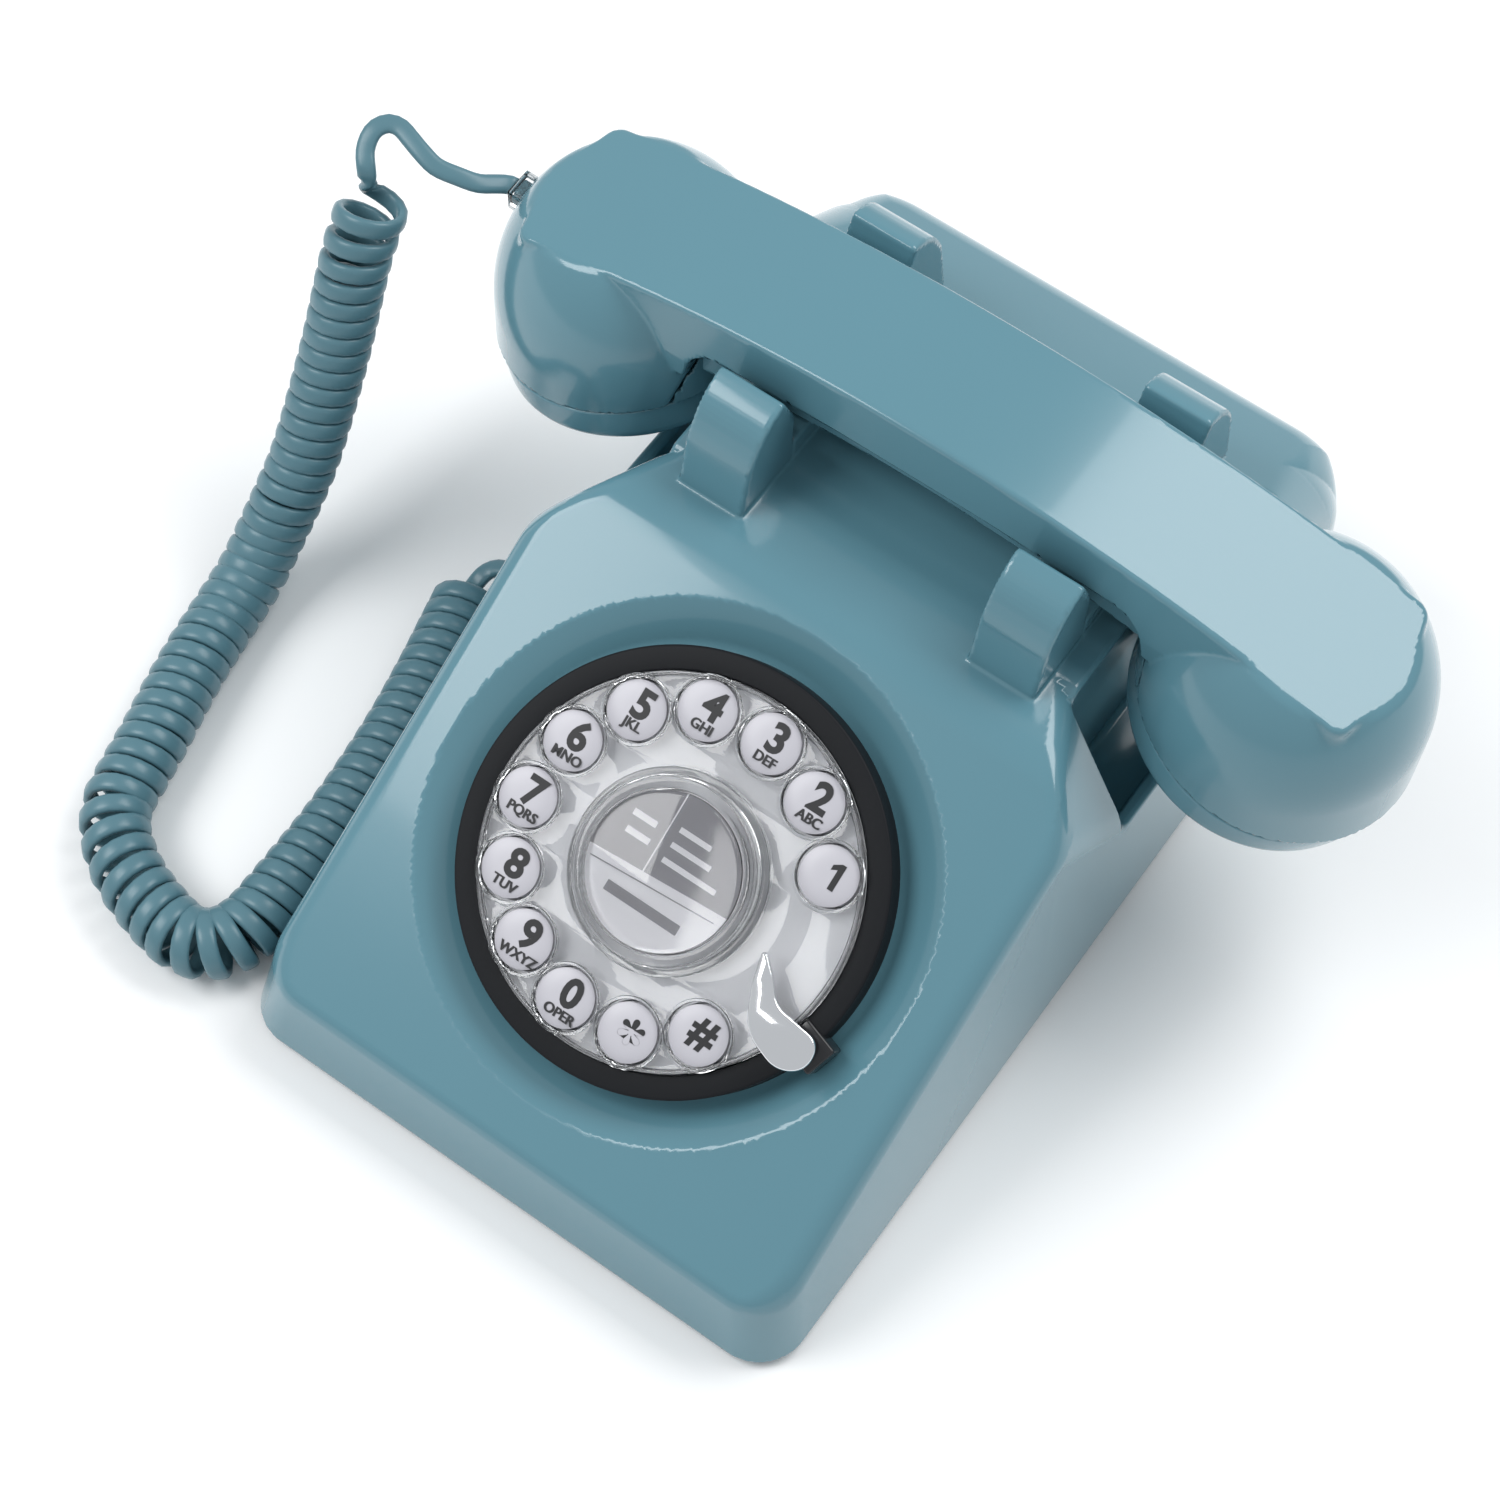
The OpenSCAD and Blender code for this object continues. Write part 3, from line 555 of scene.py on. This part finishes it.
def cup_cap(name, sign, node):
    """A cup's cap, leaning inwards with the rim that it closes, with nine sound holes."""
    place = (Matrix.Translation((sign * CUP_X * MM, GRIP_Y * MM, RIM_Z * MM))
             @ Matrix.Rotation(sign * LEAN, 4, "Y"))
    profile = rounded([(0, -10.5, 0), (CUP_R, -10.5, 4), (CUP_R, -0.25, 0.5), (29.6, -0.25, 0),
                       (29.6, -7.5, 0), (0, -7.5, 0)], 6)
    points, faces = lathe(profile, 160, closed=True)
    o = piece(name, [place @ (Vector(q) * MM) / MM for q in points], faces, TEAL, "handset", [node], "shell")
    mend(o)
    drill = bmesh.new()
    holes = [(0, 0)] + [(9 * math.cos(math.pi * k / 4), 9 * math.sin(math.pi * k / 4)) for k in range(8)]
    for x, y in holes:
        bmesh.ops.create_cone(drill, cap_ends=True, segments=20, radius1=1.2 * MM, radius2=1.2 * MM,
                              depth=12 * MM, matrix=place @ Matrix.Translation((x * MM, y * MM, -9 * MM)))
    drill_mesh = bpy.data.meshes.new("drill")
    drill.to_mesh(drill_mesh)
    drill.free()
    tool = added("drill", drill_mesh)
    cut = o.modifiers.new("holes", "BOOLEAN")
    cut.operation, cut.solver, cut.object = "DIFFERENCE", "EXACT", tool
    applied(o)
    bpy.data.objects.remove(tool)
    return shade(o, 40)


cup_cap("ear_cap_skin", -1, "ear_cap")
cup_cap("mouth_cap_skin", 1, "mouth_cap")

# ---------------------------------------------------------------- the dial

KEY_R, KEY_CIRCLE, KEY_START, KEY_STEP = 6.7, 35.7, 30.8, 25.7
KEY_TOP, FLANGE_HIGH, FLANGE_LOW, STEM_END = 4.6, -2.8, -3.8, -5.2
PRINT_W, PRINT_DEPTH = 4.62, 0.04
RING_IN, RING_OUT = 43.6, 49.2
WHEEL_R, WHEEL_LOW, WHEEL_HIGH, HOLE_R = 42.4, 2.4, 4.4, 7.3
HUB_R, LABEL_W = 17.6, 6.6
KEYS = [("1", "1", ""), ("2", "2", "ABC"), ("3", "3", "DEF"), ("4", "4", "GHI"), ("5", "5", "JKL"),
        ("6", "6", "MNO"), ("7", "7", "PQRS"), ("8", "8", "TUV"), ("9", "9", "WXYZ"), ("0", "0", "OPER"),
        ("star", "*", ""), ("hash", "#", "")]


def key_place(i):
    a = math.radians(KEY_START + i * KEY_STEP)
    return KEY_CIRCLE * math.cos(a), KEY_CIRCLE * math.sin(a)


def laid(points):
    """Points given in the dial's frame, in the phone's."""
    return [DIAL @ (Vector(q) * MM) / MM for q in points]


def turned(name, profile, look, body, nodes=(), slot=None, steps=128, at=(0, 0), closed=False):
    """A turned piece on the dial."""
    points, faces = lathe(profile, steps, closed)
    points = laid([(x + at[0], y + at[1], w) for x, y, w in points])
    o = piece(name, points, faces, look, body, nodes, slot)
    mend(o)
    return shade(o, 35)


STOP = math.radians(-18)
ring_profile = rounded([(RING_IN, -5, 0), (RING_OUT, -5, 0), (RING_OUT, 3, 0.7), (RING_IN, 3, 0.5)], 4)
turned("bezel_ring", ring_profile, RING, "case", ["dial_ring"], "black", 192, closed=True)

plate_holes = [ring_of(*key_place(i), KEY_R + 0.3) for i in range(12)] + [ring_of(0, 0, HUB_R + 0.3, 96)]
cut_plate("dial_face", [ring_of(0, 0, RING_IN - 0.2, 128)] + plate_holes, -1.8, 0.2, 0.2, PLATE, "case", DIAL,
          ["dial_plate"])


def wheel_outline():
    """The wheel's edge: its circle, notched where each key's hole cuts through it."""
    reach = math.acos((WHEEL_R ** 2 + KEY_CIRCLE ** 2 - HOLE_R ** 2) / (2 * WHEEL_R * KEY_CIRCLE))
    notch, edge = 40, math.radians(2)
    out = []
    for i in range(12):
        mid = math.radians(KEY_START + i * KEY_STEP)
        kx, ky = key_place(i)
        begin = math.atan2(WHEEL_R * math.sin(mid - reach) - ky, WHEEL_R * math.cos(mid - reach) - kx)
        half = abs((begin - mid) % (2 * math.pi) - math.pi)
        angles = [mid + math.pi + half * (1 - 2 * k / notch) for k in range(notch + 1)]
        out += [(kx + HOLE_R * math.cos(a), ky + HOLE_R * math.sin(a)) for a in angles]
        start = mid + reach
        end = math.radians(KEY_START + ((i + 1) * KEY_STEP if i < 11 else 360)) - reach
        steps = max(2, int((end - start) / edge))
        angles = [start + (end - start) * k / steps for k in range(1, steps)]
        out += [(WHEEL_R * math.cos(a), WHEEL_R * math.sin(a)) for a in angles]
    return out


def clear_ring(name, inside, outside, low, high, corner, arc=4, **more):
    """A clear ring whose upper edges are rounded."""
    profile = rounded([(inside, low, 0), (outside, low, 0), (outside, high, corner),
                       (inside, high, corner)], arc)
    return turned(name, profile, CLEAR, "case", slot="clear", closed=True, **more)


cut_plate("wheel_face", [wheel_outline(), ring_of(0, 0, 20.8, 96)], WHEEL_LOW, WHEEL_HIGH, 0.35, CLEAR,
          "case", DIAL, ["finger_wheel"])
clear_ring("wheel_rim", 42.5, 43.4, 0.3, 4.9, 0.4, steps=192)
for i in range(12):
    clear_ring(f"wheel_lip_{i}", HOLE_R, HOLE_R + 0.75, 4.1, 4.9, 0.35, steps=64, at=key_place(i))
clear_ring("wheel_hub", 21, 22.8, 0.3, 4.6, 0.5)
clear_ring("hub_collar", HUB_R + 0.3, 20.6, 0.3, 7.6, 0.8, arc=5, nodes=["hub_ring"])


def text_piece(name, words, size, u, v, w, bold, body):
    """Printed characters, centred on a place on the dial."""
    curve = bpy.data.curves.new(name, "FONT")
    curve.body, curve.size, curve.extrude, curve.offset = words, size * MM, 0.03 * MM, bold * MM
    curve.align_x, curve.align_y = "CENTER", "CENTER"
    curve.resolution_u = 4
    mesh = mesh_of(curve)
    co = np.array([q.co for q in mesh.vertices])
    middle = (co.min(0) + co.max(0)) / 2
    mesh.transform(Matrix.Translation((-middle[0], -middle[1], 0)))
    mesh.transform(DIAL @ Matrix.Translation((u * MM, v * MM, w * MM)))
    mesh.materials.clear()
    mesh.materials.append(INK)
    return placed(added(name, mesh), body)


def printed(name, outline, w, look, body, slot=None):
    """A thin flat print on the dial."""
    n = len(outline)
    points = laid([(x, y, h) for h in (w, w - PRINT_DEPTH) for x, y in outline])
    faces = [tuple(range(n)), tuple(range(2 * n - 1, n - 1, -1))]
    faces += [(k, k + n, (k + 1) % n + n, (k + 1) % n) for k in range(n)]
    return piece(name, points, faces, look, body, slot=slot, smooth=False)


ONE = [(-0.3, -3.1), (1.1, -3.1), (1.1, 3.1), (0.1, 3.1), (-1.7, 2.0), (-1.7, 0.8), (-0.3, 1.5)]
below_plate = [(KEY_R, FLANGE_HIGH), (KEY_R + 1.1, FLANGE_HIGH), (KEY_R + 1.1, FLANGE_LOW), (1.6, FLANGE_LOW),
               (1.6, STEM_END), (0, STEM_END)]
crown = [(KEY_R * math.sin(a), KEY_TOP - 0.55 * math.sin(a) ** 4) for a in np.linspace(0, math.pi / 2, 12)]
for i, (short, digit, letters) in enumerate(KEYS):
    kx, ky = key_place(i)
    body = "button_" + short
    turned("key_cap_" + short, (crown + below_plate)[::-1], KEY, body, ["key_" + short], "key", 64, (kx, ky))
    if letters:
        text_piece("digit_" + short, digit, 9.2, kx + 0.9, ky + 1.7, PRINT_W, 0.34, body)
        for k, shift in enumerate((-0.09, 0.09)):
            text_piece(f"letters_{short}_{k}", letters, 3.2, kx + 0.8 + shift, ky - 3.5, PRINT_W + 0.01 * k,
                       0.05, body)
    elif digit == "1":
        printed("digit_1", [(kx + 1.4 + x, ky + 0.6 + y) for x, y in ONE], PRINT_W + PRINT_DEPTH, INK, body)
    else:
        size = 12.5 if digit == "*" else 9.4
        text_piece("digit_" + short, digit, size, kx + 0.8, ky + 0.6, PRINT_W, 0.34, body)

# the middle key: cup, printed label in parts, clear cover
cup = [(0, STEM_END), (2, STEM_END), (2, FLANGE_LOW), (19, FLANGE_LOW), (19, FLANGE_HIGH),
       (HUB_R, FLANGE_HIGH), (HUB_R, 6.55), (0, 6.55)]
turned("middle_cup", cup, LABEL_WHITE, "speaker_button", ["speaker_key"], "key")
turned("middle_label", [(0, LABEL_W), (17.3, LABEL_W), (17.3, 6.85), (0, 6.85)], LABEL_WHITE,
       "speaker_button", ["speaker_label"], "label")
turned("middle_cover", rounded([(0, 7.25, 0), (HUB_R, 7.25, 0), (HUB_R, 8.8, 1.0), (0, 8.8, 0)], 5), CLEAR,
       "speaker_button", ["speaker_lens"], "clear")

# the label's grey upper part and its bars, which stand for the printed words
arc = np.linspace(math.radians(-3.5), math.radians(190.5), 60)
printed("label_upper", [(17.2 * math.cos(a), 17.2 * math.sin(a)) for a in arc], 6.92, LABEL_GREY,
        "speaker_button", "label")


def bar(name, x0, y0, x1, y1, wide, look=LABEL_WHITE):
    d = Vector((x1 - x0, y1 - y0)).normalized() * wide / 2
    outline = [(x0 + d.y, y0 - d.x), (x1 + d.y, y1 - d.x), (x1 - d.y, y1 + d.x), (x0 - d.y, y0 + d.x)]
    printed(name, outline, 6.98, look, "speaker_button", "label")


bar("label_divider", -4.0, 16.6, -3.9, -2.6, 0.35)
WORD_BARS = [(-12.5, -6.5, 7.6, 1.5), (-12.0, -6.0, 3.6, 1.5), (-1.6, 6.5, 9.6, 1.3), (-1.6, 8.6, 5.9, 1.3),
             (-1.6, 12.2, 2.2, 1.3)]
for k, (x0, x1, y, wide) in enumerate(WORD_BARS):
    bar(f"label_bar_{k}", x0, y, x1, y, wide)
bar("label_line", -15.9, -5.4, 15.4, -3.4, 0.25, LABEL_GREY)
bar("label_low_bar", -9.5, -9.0, 9.5, -9.0, 2.4, LABEL_GREY)

# finger stop and its block
stop_outline = rounded([(27.6, -2.4, 0.6), (29.0, -2.4, 0.6), (32.4, -5.6, 6), (36.6, -10.6, 6),
                        (48.6, -12, 4), (49.2, -18.5, 5), (44, -22.6, 7), (33.6, -19, 10),
                        (29.4, -9.5, 10)], 8)
cut_plate("finger_stop", [stop_outline], 6.6, 8.4, 0.6, CHROME, "redial_button", DIAL, ["redial_key"])


def stop_box(name, low, high, look, body, slot, bevel, nodes=()):
    """A box on the dial, turned to the finger stop's place."""
    points, faces = box(low, high)
    turn = Matrix.Rotation(STOP, 4, "Z")
    o = piece(name, laid([turn @ Vector(q) for q in points]), faces, look, body, nodes, slot)
    return soften(o, bevel, 3)


stop_box("stop_stem", (45.6, -2, -2), (48.6, 2, 6.7), CHROME, "redial_button", "chrome", 0.3)
stop_box("stop_block_skin", (43.7, -4, -3.2), (53, 4, 4), GLOSS_BLACK, "case", "black", 0.7, ["stop_block"])

# ---------------------------------------------------------------- the cord

# route of the coil's middle and of the leads, as in the CAD
LEAD_OUT = [(-120.9, 49.5, 93), (-122.1, 49.4, 93.05), (-123.4, 48.5, 93.4), (-124.8, 47, 94),
            (-127.5, 44, 95.3), (-131.5, 42, 96.8), (-136.5, 40.5, 98), (-141, 41, 99.3), (-145, 42, 100.2),
            (-148.5, 42.8, 100.8), (-151.4, 41.8, 101), (-153, 38.6, 100.4), (-152.3, 34.6, 98.2),
            (-149.5, 31.2, 95.4)]
COIL = [(-145, 28, 92), (-145, 20, 80), (-143.5, 7.5, 58), (-142, -7.5, 36), (-142, -16, 26),
        (-142.5, -24, 17), (-142, -33, 11), (-141, -44, 8.5), (-139, -56, 8.5), (-136.5, -67.5, 8.5),
        (-133.5, -79, 8.5), (-131, -90, 8.5), (-129, -98, 8.5), (-125, -104, 8.5), (-118.5, -109, 8.5),
        (-111, -112.5, 8.5), (-102, -115, 8.5), (-94.5, -116, 8.5), (-89, -114, 8.5), (-85.5, -109.5, 8.5),
        (-83.9, -103, 8.5), (-83.8, -95, 8.5), (-83.9, -86, 8.5), (-84.2, -76, 8.5), (-85, -66, 8.5),
        (-86.3, -55, 8.5), (-88, -44, 8.5), (-90, -34, 8.5), (-92, -25, 8.5), (-94, -17, 8.5),
        (-95.7, -10, 8.5), (-97, -4.5, 8.5)]
LEAD_IN = [(-97.6, -1.6, 8.8), (-97, 1.5, 9.8), (-94.8, 3.6, 11.2), (-91, 4.2, 12.4), (-87, 3.4, 13),
           (-83, 3, 13), (-80, 3, 13)]
RIBBON_W, RIBBON_T, COIL_R, POINTS_A_TURN = 4.5, 2.5, 7.2, 16
LEAD_TOP, LEAD_END_TOP = (0.1, -0.35, 1.0), (0, 0, 1.0)  # which way the leads' flat sides face


def smooth_route(points, step=1.0):
    """A route through the points, evenly spaced, by Catmull-Rom pieces."""
    p = np.array(points, float)
    q = np.vstack([2 * p[0] - p[1], p, 2 * p[-1] - p[-2]])
    out = []
    for i in range(1, len(q) - 2):
        t = np.linspace(0, 1, 16, endpoint=False)[:, None]
        out.append(0.5 * (2 * q[i] + (q[i + 1] - q[i - 1]) * t
                          + (2 * q[i - 1] - 5 * q[i] + 4 * q[i + 1] - q[i + 2]) * t ** 2
                          + (3 * q[i] - 3 * q[i + 1] + q[i + 2] - q[i - 1]) * t ** 3))
    out = np.vstack(out + [p[-1:]])
    far = np.concatenate([[0], np.cumsum(np.linalg.norm(np.diff(out, axis=0), axis=1))])
    places = np.linspace(0, far[-1], max(2, int(round(far[-1] / step)) + 1))
    return np.stack([np.interp(places, far, out[:, k]) for k in range(3)], 1)


def directions(line):
    """Unit vectors along a line of points."""
    along = np.gradient(line, axis=0)
    return along / np.maximum(np.linalg.norm(along, axis=1), 1e-9)[:, None]


def sampled(values, at):
    """Rows of a table read between its rows."""
    return np.stack([np.interp(at, np.arange(len(values)), values[:, k]) for k in range(3)], 1)


def coil_line():
    """The coil's centreline and, at each point, the way outwards from the coil's middle."""
    spine = smooth_route(COIL, 0.5)
    along = directions(spine)
    side = np.empty_like(spine)
    side[0] = np.cross(along[0], (0, 0, 1))
    side[0] /= np.linalg.norm(side[0])
    for i in range(1, len(spine)):
        s = side[i - 1] - along[i] * (side[i - 1] @ along[i])
        side[i] = s / np.linalg.norm(s)
    other = np.cross(along, side)
    far = np.concatenate([[0], np.cumsum(np.linalg.norm(np.diff(spine, axis=0), axis=1))])
    share = far / far[-1]
    # the turns stand further apart at the hanging end and round the bend
    pitch = 4.7 + 1.6 * np.exp(-((share - 0.02) / 0.03) ** 2) + 1.3 * np.exp(-((share - 0.56) / 0.05) ** 2)
    turns = np.concatenate([[0], np.cumsum(np.diff(far) / pitch[1:])])
    steps = np.arange(int(turns[-1] * POINTS_A_TURN)) / POINTS_A_TURN
    at = np.interp(steps, turns, np.arange(len(turns)))
    angle = 2 * np.pi * steps
    out_dir = np.cos(angle)[:, None] * sampled(side, at) + np.sin(angle)[:, None] * sampled(other, at)
    return sampled(spine, at) + COIL_R * out_dir, out_dir


def whole_cord():
    """Centreline, points and faces of the flat ribbon: lead, coil, lead."""
    coil, out_dir = coil_line()
    lead_out = smooth_route(LEAD_OUT + [tuple(coil[2])], 1.5)[:-1]
    lead_in = smooth_route([tuple(coil[-3])] + LEAD_IN, 1.5)[1:]
    line = np.vstack([lead_out, coil[2:-2], lead_in])
    along = directions(line)
    thick = np.vstack([np.tile(LEAD_TOP, (len(lead_out), 1)), out_dir[2:-2],
                       np.tile(LEAD_END_TOP, (len(lead_in), 1))])
    for _ in range(6):
        thick[1:-1] = (thick[:-2] + 2 * thick[1:-1] + thick[2:]) / 4 + 1e-6
    thick -= along * (thick * along).sum(1)[:, None]
    thick /= np.maximum(np.linalg.norm(thick, axis=1), 1e-9)[:, None]
    wide = np.cross(along, thick)
    around, squareness = 14, 0.7
    points = np.empty((len(line), around, 3))
    for k in range(around):
        c, s = math.cos(2 * math.pi * k / around), math.sin(2 * math.pi * k / around)
        points[:, k] = (line + wide * RIBBON_W / 2 * math.copysign(abs(c) ** squareness, c)
                        + thick * RIBBON_T / 2 * math.copysign(abs(s) ** squareness, s))
    n = len(line)
    faces = [(i * around + j, i * around + (j + 1) % around, (i + 1) * around + (j + 1) % around,
              (i + 1) * around + j) for i in range(n - 1) for j in range(around)]
    faces += [tuple(range(around))[::-1], tuple((n - 1) * around + j for j in range(around))]
    return line, points.reshape(-1, 3), faces


cord_path, points, faces = whole_cord()
points[:, 2] = np.maximum(points[:, 2], 0.1)  # the coil rests on the table
cord = mesh_object("curly_cord", points, faces, CORD)
mend(cord)
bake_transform(cord)
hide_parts("cord_lead_handset", "cord_coil", "cord_lead_base")


def plug(name, x, y, z, body, node):
    """A clear modular plug with the cord's end inside."""
    shell = box((x, y - 3.8, z - 3.1), (x + 14.3, y + 3.8, z + 3.1))
    soften(piece(name + "_body", *shell, CLEAR, body, [node], "clear"), 0.3)
    wire = box((x + 0.8, y - 2.1, z - 1.1), (x + 9.5, y + 2.1, z + 1.1))
    soften(piece(name + "_wire", *wire, CORD, body), 0.4)


plug("plug_handset", -120.5, 49.5, 93, "handset", "handset_plug")
plug("plug_base", -80, 3, 13, "case", "base_plug")

# ---------------------------------------------------------------- floor and light


def ceiling_light(name, x, y, size_x, size_y, power, height=1.1):
    """A soft light that faces straight down; its place and sizes are in metres."""
    lamp = bpy.data.lights.new(name, "AREA")
    lamp.energy, lamp.shape, lamp.size, lamp.size_y = power, "RECTANGLE", size_x, size_y
    added(name, lamp).location = (x, y, height)


bpy.ops.mesh.primitive_plane_add(size=6, location=(0, 0, 0))
floor = bpy.context.object
floor.name = "floor"
floor.data.materials.append(FLOOR)
ceiling_light("key_left", -0.835, -0.575, 0.93, 0.75, 13)
ceiling_light("fill_back", 0.425, 0.675, 0.95, 0.65, 11)

world = bpy.data.worlds.new("studio")
scene.world = world
world.use_nodes = True
world.node_tree.nodes["Background"].inputs["Color"].default_value = (0.93, 0.97, 1.0, 1)
world.node_tree.nodes["Background"].inputs["Strength"].default_value = 0.6
scene.view_settings.view_transform = "Standard"
